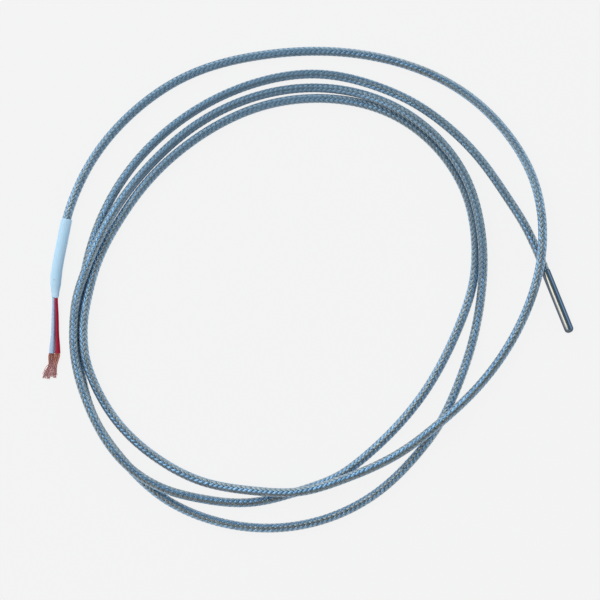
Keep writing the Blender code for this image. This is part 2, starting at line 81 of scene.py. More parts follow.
# Last part loop: over the cable behind the sheath, along the top and down to the shrink sleeve
LAST_LOOP = [
    (-12.5, 0.7, 5.2), (-7.9, 19.6, 6.6), (-7.3, 34.4, 6.0), (-11.1, 54.8, 3.6),
    (-20.5, 72.5, 2.2), (-44.0, 95.2, 2.0), (-71.0, 107.4, 2.0), (-102.5, 112.5, 2.0),
    (-134.0, 110.7, 2.0), (-165.5, 102.1, 2.0), (-192.5, 83.9, 2.0), (-209.4, 63.7, 2.0),
    (-218.2, 45.7, 2.15),
]
# Inside the shrink sleeve: its mouth, and the middle and end of the cable in it
IN_SLEEVE = [(-220.9, 37.2, 2.5), (-223.1, 26.1, 2.5), (-225.0, 16.2, 2.5)]
# The sleeve beyond the cable's end, down to the neck where the leads come out
SLEEVE_TAPER = [
    (-225.6, 12.0, 2.45), (-225.9, 8.0, 2.35), (-226.1, 4.0, 2.25), (-226.2, 1.7, 2.2),
]
# The two leads from the neck to their cut ends
WHITE_ROUTE = [
    (-226.9, -2.9, 1.25), (-227.1, -8.3, 0.9), (-227.3, -15.1, 0.8), (-227.6, -19.6, 0.8),
    (-227.85, -23.3, 0.8),
]
RED_ROUTE = [
    (-225.5, -2.9, 2.35), (-225.4, -8.3, 1.5), (-225.4, -15.1, 0.85), (-225.25, -19.6, 0.8),
    (-225.2, -23.3, 0.8),
]
# The middles of the two fans of copper strands
WHITE_FAN = [
    (-228.0, -25.9, 0.75), (-228.3, -29.0, 0.65), (-229.6, -32.2, 0.58), (-230.3, -34.9, 0.55),
]
RED_FAN = [
    (-225.7, -25.9, 0.75), (-226.5, -29.0, 0.65), (-227.1, -31.8, 0.58), (-227.6, -34.3, 0.55),
]

# Sizes of the sheath, cable and leads, as in the solids
SHEATH_LENGTH = 30.0 * MM
SHEATH_RADIUS = 2.0 * MM
SHEATH_WALL = 0.25 * MM
TIP_THICKNESS = 0.4 * MM
CABLE_RADIUS = 2.0 * MM
CABLE_STRAIGHT_RUN = 6.4 * MM
LEAD_RADIUS = 0.8 * MM
LEAD_GAP = 0.06 * MM
LEAD_SLANT = 46.0
END_GAP = 0.3 * MM

# The sheath as it looks is a hair fuller than its solid and rounder at its ends
SHEATH_OUTSIDE = 2.1 * MM
TIP_ROUNDING = 1.8 * MM
RIM_ROUNDING = 0.2 * MM

# The braid: carriers wound both ways, each a flat ribbon of parallel wires, two over and two under
CARRIERS_EACH_WAY = 8
BRAID_LAY = 18.0 * MM
WIRES_A_CARRIER = 6
RIBBON_WIDTH = 1.14 * MM
RIBBON_THICKNESS = 0.15 * MM
RIBBON_CROWN = 0.08 * MM
RIBBON_MIDDLE = 1.79 * MM
WEAVE_DEPTH = 0.085 * MM
WAVES_ROUND = 4
WAVE_FLATNESS = 1.5
STEPS_A_LAY = 32
BRAID_STRETCHES = ["first", "second", "third", "last"]
BRAID_DRIFT_LENGTH = 1.3
BRAID_SEED = 40
WANDER = [(0.031, 0.03), (0.083, 0.04)]
TUCK_DEPTH = 0.12
TUCK_LENGTH = 1.6 * MM
CORE_RADIUS = 1.6 * MM

# The shrink sleeve: half its width across and through the pair of leads, by share of its length
SLEEVE_WIDE = [(0.0, 2.45), (0.04, 2.5), (0.6, 2.5), (0.76, 2.54), (0.84, 2.45), (0.93, 2.12), (1.0, 1.93)]
SLEEVE_NARROW = [(0.0, 2.45), (0.04, 2.5), (0.6, 2.5), (0.76, 2.5), (0.84, 2.3), (0.93, 1.6), (1.0, 1.2)]
SLEEVE_WALL = 0.3 * MM
SLEEVE_LIP = 0.25 * MM
SLEEVE_RIPPLE = 0.015 * MM
SLEEVE_RIPPLES = 7.3
SLEEVE_RINGS = 90
SLEEVE_SIDES = 48
SLEEVE_MARK = (-226.4, 9.8, 4.8)
SLEEVE_MARK_SIZE = 0.6 * MM

# The leads: half their width and height by share of their length, pressed flat where they were cut
LEAD_WIDE = [(0.0, 0.8), (0.5, 0.8), (0.62, 0.84), (0.8, 0.95), (0.91, 1.16), (1.0, 1.3)]
LEAD_HIGH = [(0.0, 0.8), (0.6, 0.8), (0.87, 0.77), (1.0, 0.72)]
POCKET_DEPTH = 1.4 * MM
POCKET_SHARE = 0.78
POCKET_STEPS = [0.0, 0.2, 1.0]
COPPER_IN_POCKET = 0.8
LEAD_RINGS = 70
LEAD_SIDES = 28

# Copper strands: how they go from a round bundle to a flat fan, by share of the fan's length
SOLID_STRANDS = 7
STRAND_RADIUS = 0.11 * MM
STRAND_PITCH = 0.18 * MM
BUNDLE_RINGS = 3
FAN_OPENED = [(0.0, 0.7), (0.1, 0.95), (0.2, 1.0), (1.0, 1.0)]
FAN_HALF_WIDTH = [(0.0, 0.9), (0.1, 1.0), (0.14, 1.25), (0.5, 1.0), (0.75, 1.4), (1.0, 1.65)]
FAN_HALF_HEIGHT = [(0.0, 0.35), (0.2, 0.42), (1.0, 0.3)]
FAN_UNEVENNESS = 0.06
SHORTEST = 0.14
STRAND_DRIFT = 0.1
STRAND_WAVES = (0.5, 1.3)
STRAND_CRINKLE = 0.045 * MM
STRAND_RINGS = 24
STRAND_SIDES = 6
STRAND_SEED = 12
STRAY_SAMPLES = 8
WHITE_STRAYS = [
    [(-229.4, -29.6, 1.0), (-230.4, -30.6, 1.1), (-231.3, -31.4, 0.8), (-232.0, -32.6, 0.4)],
    [(-229.0, -28.0, 0.9), (-230.2, -29.2, 1.1), (-230.9, -30.2, 0.9), (-231.2, -31.0, 0.5)],
]
RED_STRAYS = [
    [(-226.4, -29.4, 0.9), (-226.3, -31.2, 1.1), (-225.7, -32.3, 0.8), (-225.3, -33.0, 0.4)],
    [(-226.0, -30.0, 0.8), (-225.9, -31.9, 0.9), (-226.2, -33.2, 0.8), (-226.6, -34.3, 0.4)],
]

# How finely the round pieces are cut
SAMPLES_PER_SPAN = 20
CORE_STEP = 2.5 * MM
CORE_SIDES = 16
SHEATH_SIDES = 96
CORNER_STEPS = 10
SHARP_ANGLE = 40.0

# The braid's finish. The wires wound each way have a bright, a dull and a deep tone, the last painted shade
# where a ribbon dives and in the grooves between wires. A range runs from where an effect begins to its
# full.
RIGHT_HAND_STEEL = [(0.37, 0.64, 0.95), (0.20, 0.35, 0.53), (0.02, 0.045, 0.08)]
LEFT_HAND_STEEL = [(0.49, 0.53, 0.54), (0.25, 0.31, 0.34), (0.02, 0.04, 0.06)]
RIBBON_TONE_SHARE = 0.6
RIBBON_NOISE_STEP = 97.0
DIVE_SHADE_RANGE = (0.6, -0.7)
DIVE_SHADE_SHARE = 0.95
GROOVE_SHADE_SHARE = 0.35
# The braid's rim colour is a painted highlight that grows towards its outline as seen
BRAID_RIM_HIGHLIGHT = (0.64, 0.76, 0.85)
BRAID_RIM_HIGHLIGHT_RANGE = (0.2, 0.75)
BRAID_RIM_HIGHLIGHT_SHARE = 0.6
BRAID_ROUGHNESS = 0.42
BRAID_SHEEN_STRETCH = 0.8
# Dull stretches, where the colour is mixed towards a flatter one and the roughness raised: the middle of
# each, how far out it is at its dullest and where it ends, its strength and that flatter colour
DULL_STRETCHES = [
    ((-150.0, 97.0, 2.0), 40.0 * MM, 90.0 * MM, 0.9, (0.225, 0.35, 0.475)),
    ((-60.0, 50.0, 3.0), 37.0 * MM, 47.0 * MM, 0.6, (0.235, 0.33, 0.41)),
    ((20.0, 110.0, 3.0), 62.0 * MM, 74.0 * MM, 0.55, (0.40, 0.55, 0.68)),
]
FLAT_ROUGHNESS = 0.25

# The sheath's finish: a painted dark-blue reflection down its right side and, less, over its closed end,
# whose range is in millimetres from the tip, and painted shade at its edges
SHEATH_STEEL = (0.50, 0.50, 0.48)
SHEATH_HAZE = (0.43, 0.46, 0.48)
SHEATH_REFLECTION_BLUE = (0.112, 0.192, 0.30)
SHEATH_EDGE_SHADE = (0.05, 0.09, 0.14)
REFLECTION_SIDE_RANGE = (-0.1, 0.35)
REFLECTION_END_RANGE = (3.4, 1.8)
REFLECTION_END_SHARE = 0.6
SHEATH_EDGE_SHADE_RANGE = (0.12, 0.42)
SHEATH_ROUGHNESS = (0.1, 0.24)

# The sleeve's finish, with its mark, and the weave that shows through as far as the braid reaches, in
# millimetres along it
SLEEVE_COLOUR = (0.53, 0.79, 1.0)
SLEEVE_PATCHES = (0.60, 0.78, 0.97)
SLEEVE_MARK_COLOUR = (0.20, 0.27, 0.36)
SLEEVE_MARK_SHARE = 0.55
WEAVE_END_RANGE = (23.0, 20.0)
WEAVE_SHARE = 0.6

# Finishes of the copper, which pales along a strand over a range in millimetres, and of the leads
COPPER_ROOT = (0.60, 0.20, 0.11)
COPPER_END = (0.75, 0.46, 0.48)
COPPER_DARK = (0.42, 0.20, 0.17)
COPPER_PALES_RANGE = (2.0, 10.0)
COPPER_PALES_SHARE = 0.7
STRAND_TONE_SHARE = 0.5
COPPER_ROUGHNESS = (0.42, 0.6)
WHITE_LEAD = (0.54, 0.65, 0.88)
WHITE_LEAD_SOILED = (0.42, 0.50, 0.72)
RED_LEAD = (0.50, 0.006, 0.045)
RED_LEAD_SOILED = (0.38, 0.005, 0.035)
# Painted shade on the side where the two leads touch
LEAD_CREASE_SHADE = (0.10, 0.07, 0.11)
LEAD_CREASE_SHADE_RANGE = (0.3, 0.95)
LEAD_CREASE_SHADE_SHARE = 0.8

# The patches that handling leaves, as a range of the noise that they are made from
PATCH_RANGE = (0.4, 0.7)

# Plain finishes, of the braid's core and of the pieces inside the sheath: two tones, metallic,
# roughness and grain in millimetres
GRAINS_A_PATCH = 8
CORE_JACKET = ((0.035, 0.05, 0.06), (0.02, 0.03, 0.04), 0.0, 0.6, 0.3)
HIDDEN_STOCKS = {
    "fired_ceramic": ((0.88, 0.87, 0.84), (0.80, 0.79, 0.75), 0.0, 0.6, 0.05),
    "sealing_glass": ((0.45, 0.62, 0.55), (0.38, 0.54, 0.48), 0.0, 0.2, 0.1),
    "drawn_platinum": ((0.72, 0.71, 0.69), (0.62, 0.61, 0.60), 1.0, 0.25, 0.05),
    "ceramic_cement": ((0.70, 0.67, 0.60), (0.58, 0.55, 0.48), 0.0, 0.9, 0.08),
    "tinned_ferrule": ((0.70, 0.71, 0.72), (0.58, 0.59, 0.60), 1.0, 0.3, 0.08),
    "splice_sleeving": ((0.80, 0.78, 0.70), (0.72, 0.69, 0.60), 0.0, 0.4, 0.1),
    "potting_resin": ((0.10, 0.10, 0.11), (0.06, 0.06, 0.07), 0.0, 0.5, 0.1),
    "inner_white_insulation": ((0.60, 0.68, 0.86), (0.50, 0.58, 0.76), 0.0, 0.5, 0.1),
    "inner_red_insulation": ((0.42, 0.012, 0.045), (0.30, 0.01, 0.03), 0.0, 0.5, 0.1),
    "core_copper": ((0.62, 0.28, 0.19), (0.48, 0.20, 0.13), 1.0, 0.35, 0.06),
}
HIDDEN_PIECES = {
    "fired_ceramic": ["element_chip"],
    "sealing_glass": ["element_bead"],
    "drawn_platinum": ["element_wire_white", "element_wire_red"],
    "ceramic_cement": ["tip_cement"],
    "tinned_ferrule": ["ferrule_white", "ferrule_red"],
    "splice_sleeving": ["splice_sleeve_white", "splice_sleeve_red"],
    "potting_resin": ["rear_potting"],
    "inner_white_insulation": ["front_lead_white"],
    "inner_red_insulation": ["front_lead_red"],
    "core_copper": ["front_core_white", "front_core_red"],
}

# The view: what lies in its middle in the layout, how wide it is there, and the lens in millimetres
VIEW_MIDDLE = (-116.0, 0.7)
VIEW_WIDTH = 0.27
LENS = 150.0

# The room: the floor, the light from all round, dimmer and warmer from the foot of the view, and
# softboxes. A softbox stands at a bearing from the layout's right, so far from straight overhead, both
# in degrees, and has a width, length, radiance and colour
FLOOR_RADIUS = 6.0
FLOOR_SIDES = 64
FLOOR_DROP = -0.05 * MM
FLOOR_GLOW = (0.912, 0.912, 0.912)
BACKGROUND = (0.905, 0.905, 0.905)
SHADOW_SHARE = 0.06
HORIZON_LIGHT = (0.80, 0.84, 0.85)
ZENITH_LIGHT = (0.10, 0.16, 0.20)
FOOT_LIGHT = (0.52, 0.46, 0.41)
FOOT_RANGE = (0.1, 0.85)
SOFTBOX_DISTANCE = 1.2
SOFTBOXES = [
    ("warm window", 202.0, 27.0, 0.5, 0.45, 1.8, (1.0, 0.85, 0.66)),
    ("pale window", 202.0, 48.0, 0.5, 0.50, 1.0, (0.94, 0.97, 1.0)),
    ("skylight", 135.0, 50.0, 1.15, 1.15, 1.8, (0.86, 0.96, 1.0)),
    ("low fill", 20.0, 66.0, 1.2, 0.6, 1.0, (0.92, 0.97, 1.0)),
]


def lay_out(points):
    """Layout points in millimetres as places in the probe's own frame."""
    turn = radians(SHEATH_BEARING)
    right, up, height = np.array(points, float).T
    x = right * cos(turn) - up * sin(turn)
    y = right * sin(turn) + up * cos(turn)
    return np.column_stack([x, y, height]) * MM


def smooth_curve(points, per_span=SAMPLES_PER_SPAN):
    """A natural cubic spline through the points, as an array of places along it."""
    knots = np.array(points, float)
    steps = np.linalg.norm(np.diff(knots, axis=0), axis=1)
    count = len(knots)
    matrix = np.eye(count)
    target = np.zeros((count, 3))
    for i in range(1, count - 1):
        before, after = steps[i - 1], steps[i]
        matrix[i, i - 1:i + 2] = before, 2 * (before + after), after
        target[i] = 6 * ((knots[i + 1] - knots[i]) / after - (knots[i] - knots[i - 1]) / before)
    bends = np.linalg.solve(matrix, target)
    spans = []
    for i, step in enumerate(steps):
        s = np.linspace(0.0, step, per_span, endpoint=False)[:, None]
        cubic = (bends[i] * (step - s) ** 3 + bends[i + 1] * s ** 3) / (6 * step)
        start = (knots[i] / step - bends[i] * step / 6) * (step - s)
        end = (knots[i + 1] / step - bends[i + 1] * step / 6) * s
        spans.append(cubic + start + end)
    return np.vstack(spans + [knots[-1:]])


def unit(vectors):
    return vectors / np.linalg.norm(vectors, axis=-1, keepdims=True)


class Line:
    """A smooth route that knows its length, and its own side and up directions at each place."""

    def __init__(self, points):
        self.points = points
        steps = np.linalg.norm(np.diff(points, axis=0), axis=1)
        self.along = np.concatenate([[0.0], np.cumsum(steps)])
        self.length = self.along[-1]
        ahead = unit(np.gradient(points, self.along, axis=0))
        self.side = unit(np.cross(ahead, (0.0, 0.0, 1.0)))
        self.up = np.cross(self.side, ahead)

    def read(self, values, along):
        return np.column_stack([np.interp(along, self.along, values[:, k]) for k in range(3)])

    def at(self, along):
        """Places, side directions and up directions at the given distances along the line."""
        side = unit(self.read(self.side, along))
        return self.read(self.points, along), side, unit(self.read(self.up, along))


def cable_line():
    leave = -SHEATH_LENGTH / 2
    exit_points = np.array([(leave - run, 0.0, SHEATH_RADIUS) for run in (0.0, CABLE_STRAIGHT_RUN)])
    loops = lay_out(FIRST_LOOP + SECOND_LOOP + THIRD_LOOP + LAST_LOOP + IN_SLEEVE)
    curve = smooth_curve(np.vstack([exit_points, loops]))
    curve[:, 2] = np.maximum(curve[:, 2], CABLE_RADIUS)
    return Line(curve)


def ring_faces(rings, sides, looped=False):
    """Quads between rings of points, and the same quads on a sheet that isn't closed round."""
    i = np.arange(rings if looped else rings - 1)[:, None]
    j = np.arange(sides)[None, :]
    after, beside, wide = (i + 1) % rings, (j + 1) % sides, sides + 1
    faces = [i * sides + j, after * sides + j, after * sides + beside, i * sides + beside]
    sheet = [i * wide + j, after * wide + j, after * wide + j + 1, i * wide + j + 1]
    return np.stack(faces, axis=-1).reshape(-1, 4), np.stack(sheet, axis=-1).reshape(-1, 4)


def add_object(name, data):
    obj = bpy.data.objects.new(name, data)
    bpy.context.scene.collection.objects.link(obj)
    return obj


class Skin:
    """The surface of one piece, gathered from rings of points that follow each other."""

    def __init__(self):
        self.points, self.faces, self.lay, self.finish = [], [], [], []
        self.crest, self.tone = [], []
        self.count = 0

    def add(self, rings, lay, looped=False, tone=0.0, crest=None, finish=0):
        """One closed run of rings. lay holds each point's place along and round, one more round."""
        number, sides = rings.shape[:2]
        faces, sheet = ring_faces(number, sides, looped)
        groups = [(faces, sheet)]
        if not looped:
            first = np.arange(sides)[None, :]
            last = first[:, ::-1]
            groups.append((first, first))
            groups.append((last + (number - 1) * sides, last + (number - 1) * (sides + 1)))
        flat_lay = lay.reshape(-1, 2)
        for group, corners in groups:
            self.faces.append(group + self.count)
            self.lay.append(flat_lay[corners.ravel()])
            self.finish.append(np.full(len(group), finish))
        crests = np.zeros(number) if crest is None else crest
        self.crest.append(np.repeat(crests, sides))
        self.tone.append(np.full(number * sides, tone))
        self.points.append(rings.reshape(-1, 3))
        self.count += number * sides

    def make(self, name, *materials):
        """Turn what was gathered into a smooth mesh object with its finishes."""
        mesh = bpy.data.meshes.new(name)
        corners = np.concatenate([group.ravel() for group in self.faces])
        sizes = np.concatenate([np.full(len(group), group.shape[1]) for group in self.faces])
        mesh.vertices.add(self.count)
        mesh.vertices.foreach_set("co", np.vstack(self.points).astype(np.float32).ravel())
        mesh.loops.add(len(corners))
        mesh.loops.foreach_set("vertex_index", corners.astype(np.int32))
        mesh.polygons.add(len(sizes))
        starts = np.concatenate([[0], np.cumsum(sizes)[:-1]])
        mesh.polygons.foreach_set("loop_start", starts.astype(np.int32))
        for material in materials:
            mesh.materials.append(material)
        mesh.polygons.foreach_set("material_index", np.concatenate(self.finish).astype(np.int32))
        mesh.update(calc_edges=True)
        layer = mesh.uv_layers.new(name="lay")
        layer.uv.foreach_set("vector", np.vstack(self.lay).astype(np.float32).ravel())
        for label, values in (("crest", self.crest), ("tone", self.tone)):
            attribute = mesh.attributes.new(label, "FLOAT", "POINT")
            attribute.data.foreach_set("value", np.concatenate(values).astype(np.float32))
        mesh.shade_smooth()
        return add_object(name, mesh)


def circle(sides):
    angles = np.arange(sides) * tau / sides
    return np.column_stack([np.cos(angles), np.sin(angles)])


def rings_on(line, stations, sections):
    """Sections of (sideways, up) points, one a station, set square to the line."""
    place, side, up = line.at(stations)
    return place[:, None] + sections[..., :1] * side[:, None] + sections[..., 1:] * up[:, None]


def lay_across(stations, across):
    """Where each point of a piece lies: millimetres along, and its place across."""
    return np.stack(np.broadcast_arrays(stations[:, None] / MM, across), axis=-1)


def lay_of(stations, sides):
    """Where each point of a round piece lies: millimetres along, and turns round."""
    return lay_across(stations, np.arange(sides + 1) / sides)


def tube(line, stations, radius, sides):
    """Rings of a round tube, with one radius or a radius at each station."""
    radii = np.broadcast_to(radius, stations.shape)
    return rings_on(line, stations, radii[:, None, None] * circle(sides))


def eased(values, low, high):
    """0 below low, 1 above high, and a smooth step between them."""
    share = np.clip((values - low) / (high - low), 0.0, 1.0)
    return share * share * (3 - 2 * share)


def build_core(line, material):
    """The dark jacket under the braid, which is the cable's own free length."""
    stations = np.linspace(0.0, line.length, int(line.length / CORE_STEP))
    skin = Skin()
    skin.add(tube(line, stations, CORE_RADIUS, CORE_SIDES), lay_of(stations, CORE_SIDES))
    return skin.make("cable_core", material), line.at(stations)[0]


def ribbon_section():
    """Outline of one carrier's ribbon: flat below, crowned above."""
    half, low, shoulder = RIBBON_WIDTH / 2, -RIBBON_THICKNESS / 2, RIBBON_THICKNESS / 2
    crown = shoulder + RIBBON_CROWN
    return np.array([(half, low), (half, shoulder), (0.0, crown), (-half, shoulder), (-half, low)])


def wander(along, rng):
    """Small slow drift of one carrier from its even place, in radians."""
    drift = np.zeros_like(along)
    for wavelength, amount in WANDER:
        drift += amount * np.sin(tau * (along / wavelength + rng.random()))
    return drift


def build_braid(line, right_hand, left_hand):
    """The braid in stretches, each with all its carriers: two over and two under each other."""
    ends = np.linspace(0.0, line.length, len(BRAID_STRETCHES) + 1)
    outline = ribbon_section()
    across = 0.5 + np.append(outline[:, 0], outline[0, 0]) / RIBBON_WIDTH
    pieces = []
    for stretch, start, end in zip(BRAID_STRETCHES, ends[:-1], ends[1:]):
        along = np.linspace(start, end, int((end - start) / BRAID_LAY * STEPS_A_LAY))
        place, side, up = line.at(along)
        tucked = 1.0 - TUCK_DEPTH * (1.0 - eased(along, 0.0, TUCK_LENGTH))
        skin = Skin()
        for hand, finish in ((1, 0), (-1, 1)):
            for carrier in range(CARRIERS_EACH_WAY):
                rng = np.random.default_rng(BRAID_SEED + finish * CARRIERS_EACH_WAY + carrier)
                angle = tau * (hand * along / BRAID_LAY + carrier / CARRIERS_EACH_WAY)
                wave = np.cos(WAVES_ROUND * angle - pi / 4)
                over = hand * np.tanh(WAVE_FLATNESS * wave) / np.tanh(WAVE_FLATNESS)
                turn = angle + wander(along, rng) + tau * along / BRAID_DRIFT_LENGTH
                radius = (RIBBON_MIDDLE + WEAVE_DEPTH * over) * tucked
                out = np.cos(turn)[:, None] * side + np.sin(turn)[:, None] * up
                middle = place + radius[:, None] * out
                ahead = unit(np.gradient(middle, axis=0))
                beside = unit(np.cross(ahead, out))
                rings = (middle[:, None] + outline[:, 0, None] * beside[:, None]
                         + outline[:, 1, None] * out[:, None])
                skin.add(rings, lay_across(along, across), tone=rng.random(), crest=over,
                         finish=finish)
        pieces.append(skin.make(f"braid_{stretch}_stretch", right_hand, left_hand))
    return pieces


def build_sheath(material):
    """The deep-drawn tube: closed rounded tip, thin wall, open rear with a rounded rim."""
    half = SHEATH_LENGTH / 2
    axis = np.array([(half, 0.0, SHEATH_OUTSIDE), (-half, 0.0, SHEATH_OUTSIDE)])
    bore = SHEATH_RADIUS - SHEATH_WALL
    inner_rounding = TIP_ROUNDING - SHEATH_WALL
    burr = SHEATH_OUTSIDE - bore - RIM_ROUNDING
    profile = corner(TIP_ROUNDING, SHEATH_OUTSIDE - TIP_ROUNDING, TIP_ROUNDING, 90, 0)
    profile += corner(SHEATH_LENGTH - RIM_ROUNDING, SHEATH_OUTSIDE - RIM_ROUNDING, RIM_ROUNDING, 0, -90)
    profile += corner(SHEATH_LENGTH - burr, bore + burr, burr, -90, -180)
    profile += corner(TIP_THICKNESS + inner_rounding, bore - inner_rounding, inner_rounding, 0, 90)
    stations, radii = np.array(profile).T
    skin = Skin()
    skin.add(tube(Line(axis), stations, radii, SHEATH_SIDES), lay_of(stations, SHEATH_SIDES))
    sheath = skin.make("sheath_tube", material)
    sheath.data.set_sharp_from_angle(angle=radians(SHARP_ANGLE))
    return sheath


def corner(station, radius, rounding, start, end):
    """Points of a rounded corner in a turned profile, angles in degrees from straight out."""
    angles = np.radians(np.linspace(start, end, CORNER_STEPS + 1))
    return [(station - rounding * sin(a), radius + rounding * cos(a)) for a in angles]


def oval(wide, narrow, tilt, sides):
    """Sections that go from round to oval, one for each pair of radii."""
    across = wide[:, None] * circle(sides)[:, 0]
    above = narrow[:, None] * circle(sides)[:, 1]
    turned_across = across * cos(tilt) - above * sin(tilt)
    turned_above = across * sin(tilt) + above * cos(tilt)
    return np.stack([turned_across, turned_above], axis=-1)


def build_sleeve(material):
    """Recovered shrink sleeve: tight on the braid, a soft step at its end, oval on the leads."""
    line = Line(smooth_curve(lay_out(IN_SLEEVE + SLEEVE_TAPER)))
    share = np.linspace(0.0, 1.0, SLEEVE_RINGS)
    stations = share * line.length
    wide = np.interp(share, *np.array(SLEEVE_WIDE).T) * MM
    narrow = np.interp(share, *np.array(SLEEVE_NARROW).T) * MM
    ripple = SLEEVE_RIPPLE * np.sin(tau * share * SLEEVE_RIPPLES)
    wide, narrow = wide + ripple, narrow + ripple
    lip = np.sqrt(1.0 - (1.0 - np.clip(stations / SLEEVE_LIP, 0.0, 1.0)) ** 2)
    lip = np.minimum(lip, lip[::-1])
    wall = SLEEVE_WALL * (0.5 + 0.5 * lip)
    drop = SLEEVE_WALL * (0.5 - 0.5 * lip)
    tilt = radians(180.0 - LEAD_SLANT)
    outer = oval(wide - drop, narrow - drop, tilt, SLEEVE_SIDES)
    inner = oval(wide - drop - wall, narrow - drop - wall, tilt, SLEEVE_SIDES)
    sections = np.concatenate([outer, inner[::-1]])
    both_ways = np.concatenate([stations, stations[::-1]])
    skin = Skin()
    skin.add(rings_on(line, both_ways, sections), lay_of(both_ways, SLEEVE_SIDES), looped=True)
    return skin.make("recovered_sleeve", material)


def lead_line(side, route):
    """One lead's line, from the cable's end through the sleeve's neck to the cut end.

    In the sleeve the two leads lie against each other on a slant, the white one lower.
    """
    slant = radians(LEAD_SLANT)
    half = LEAD_RADIUS + LEAD_GAP / 2
    across, above = -side * half * cos(slant) / MM, -side * half * sin(slant) / MM
    inside = [IN_SLEEVE[-1]] + SLEEVE_TAPER
    beside = [(right + across, up, height + above) for right, up, height in inside]
    points = lay_out(beside + route)
    points[0] += unit(points[1] - points[0]) * END_GAP
    curve = smooth_curve(points)
    curve[:, 2] = np.maximum(curve[:, 2], LEAD_RADIUS)
    return Line(curve)


def build_lead(name, line, material):
    """Insulation pressed flat towards its cut end, with a pocket that the copper leaves."""
    outside = np.linspace(0.0, 1.0, LEAD_RINGS)
    shares = np.concatenate([outside, 1.0 - np.array(POCKET_STEPS) * POCKET_DEPTH / line.length])
    scale = np.concatenate([np.ones(LEAD_RINGS), np.full(len(POCKET_STEPS), POCKET_SHARE)]) * MM
    wide = np.interp(shares, *np.array(LEAD_WIDE).T) * scale
    high = np.interp(shares, *np.array(LEAD_HIGH).T) * scale
    stations = shares * line.length
    skin = Skin()
    skin.add(rings_on(line, stations, oval(wide, high, 0.0, LEAD_SIDES)), lay_of(stations, LEAD_SIDES))
    lead = skin.make(name, material)
    lead.data.set_sharp_from_angle(angle=radians(SHARP_ANGLE))
    return lead


def strand_slots():
    """Places of the strands in a round bundle, in strand pitches, ring by ring."""
    slots = [(0.0, 0.0)]
    for ring in range(1, BUNDLE_RINGS + 1):
        for k in range(6 * ring):
            angle = tau * k / (6 * ring)
            slots.append((ring * cos(angle), ring * sin(angle)))
    return sorted(slots)


def build_copper(name, route, fan, strays, seed, material):
    """Bare strands that leave one lead, splay into a flat fan and end unevenly, with strays."""
    rng = np.random.default_rng(seed)
    points = lay_out(route[-2:] + fan)
    inside = points[1] - unit(points[1] - points[0]) * POCKET_DEPTH * COPPER_IN_POCKET
    line = Line(smooth_curve(np.vstack([inside, points[1:]])))
    slots = strand_slots()
    places = np.linspace(-1.0, 1.0, len(slots)) + rng.normal(0.0, FAN_UNEVENNESS, len(slots))
    skin = Skin()
    for (across, above), place_in_fan in zip(slots, places):
        reach = line.length * (1.0 - SHORTEST * rng.random() ** 2)
        stations = np.linspace(0.0, reach, STRAND_RINGS)
        share = stations / line.length
        opened = np.interp(share, *np.array(FAN_OPENED).T)
        flat_off = place_in_fan * np.interp(share, *np.array(FAN_HALF_WIDTH).T) * MM
        flat_rise = rng.uniform(-1.0, 1.0) * np.interp(share, *np.array(FAN_HALF_HEIGHT).T) * MM
        waves, phase, drift = rng.uniform(*STRAND_WAVES), rng.random(), rng.normal(0.0, STRAND_DRIFT)
        crinkle = STRAND_CRINKLE * opened
        off = across * STRAND_PITCH * (1 - opened) + (flat_off + drift * share * MM) * opened
        off += crinkle * np.sin(tau * (waves * share + phase))
        rise = above * STRAND_PITCH * (1 - opened) + flat_rise * opened
        rise += 0.5 * crinkle * np.cos(tau * (waves * share + phase))
        place, side, up = line.at(stations)
        add_strand(skin, place + off[:, None] * side + rise[:, None] * up, rng.random())
    for stray in strays:
        add_strand(skin, smooth_curve(lay_out(stray), STRAY_SAMPLES), rng.random())
    return skin.make(name, material)


def add_strand(skin, wire, tone):
    """One round strand along a wire, kept above what it lies on."""
    wire[:, 2] = np.maximum(wire[:, 2], STRAND_RADIUS)
    line = Line(wire)
    stations = np.linspace(0.0, line.length, STRAND_RINGS)
    rings = tube(line, stations, STRAND_RADIUS, STRAND_SIDES)
    skin.add(rings, lay_of(stations, STRAND_SIDES), tone=tone)


def fill(tree, socket, value):
    """Link another socket's value to this one, or give it a number or a plain colour."""
    if isinstance(value, bpy.types.NodeSocket):
        tree.links.new(value, socket)
    else:
        socket.default_value = (*value, 1.0) if socket.type == "RGBA" else value


def node(tree, kind, inputs=None, **settings):
    """Add a shader node with its settings, and fill its inputs with numbers or links."""
    made = tree.nodes.new("ShaderNode" + kind)
    for name, value in settings.items():
        setattr(made, name, value)
    for key, value in (inputs or {}).items():
        fill(tree, made.inputs[key], value)
    return made


def calc(tree, operation, *values, clamp=False):
    """The result of a Math node on numbers or sockets."""
    return node(tree, "Math", dict(enumerate(values)), operation=operation, use_clamp=clamp).outputs[0]


def blend_colours(tree, share, first, second):
    """The result of mixing two colours by a share."""
    return node(tree, "Mix", {0: share, 6: first, 7: second}, data_type="RGBA").outputs[2]


def graded(tree, value, low, high, least=0.0, most=1.0):
    """least where the value is low, most where it is high, even between them and held beyond."""
    inputs = {"Value": value, "From Min": low, "From Max": high, "To Min": least, "To Max": most}
    return node(tree, "MapRange", inputs).outputs[0]


def read_lay(tree):
    """Where a point lies on its piece: along it, and across or round it."""
    return node(tree, "SeparateXYZ", {0: node(tree, "UVMap", uv_map="lay").outputs[0]}).outputs


def side_of(tree, turns):
    """1 on the right of a round piece and -1 on its left, from the turns round it."""
    return calc(tree, "COSINE", calc(tree, "MULTIPLY", turns, tau))


def distance_to(tree, point):
    """How far away a point of the layout is, in metres."""
    place = node(tree, "TexCoord").outputs["Object"]
    target = Vector(lay_out([point])[0])
    return node(tree, "VectorMath", {0: place, 1: target}, operation="DISTANCE").outputs["Value"]


def turned_away(tree):
    """0 where a surface is seen square on, rising to 1 at its outline."""
    return node(tree, "LayerWeight", {"Blend": 0.5}).outputs["Facing"]


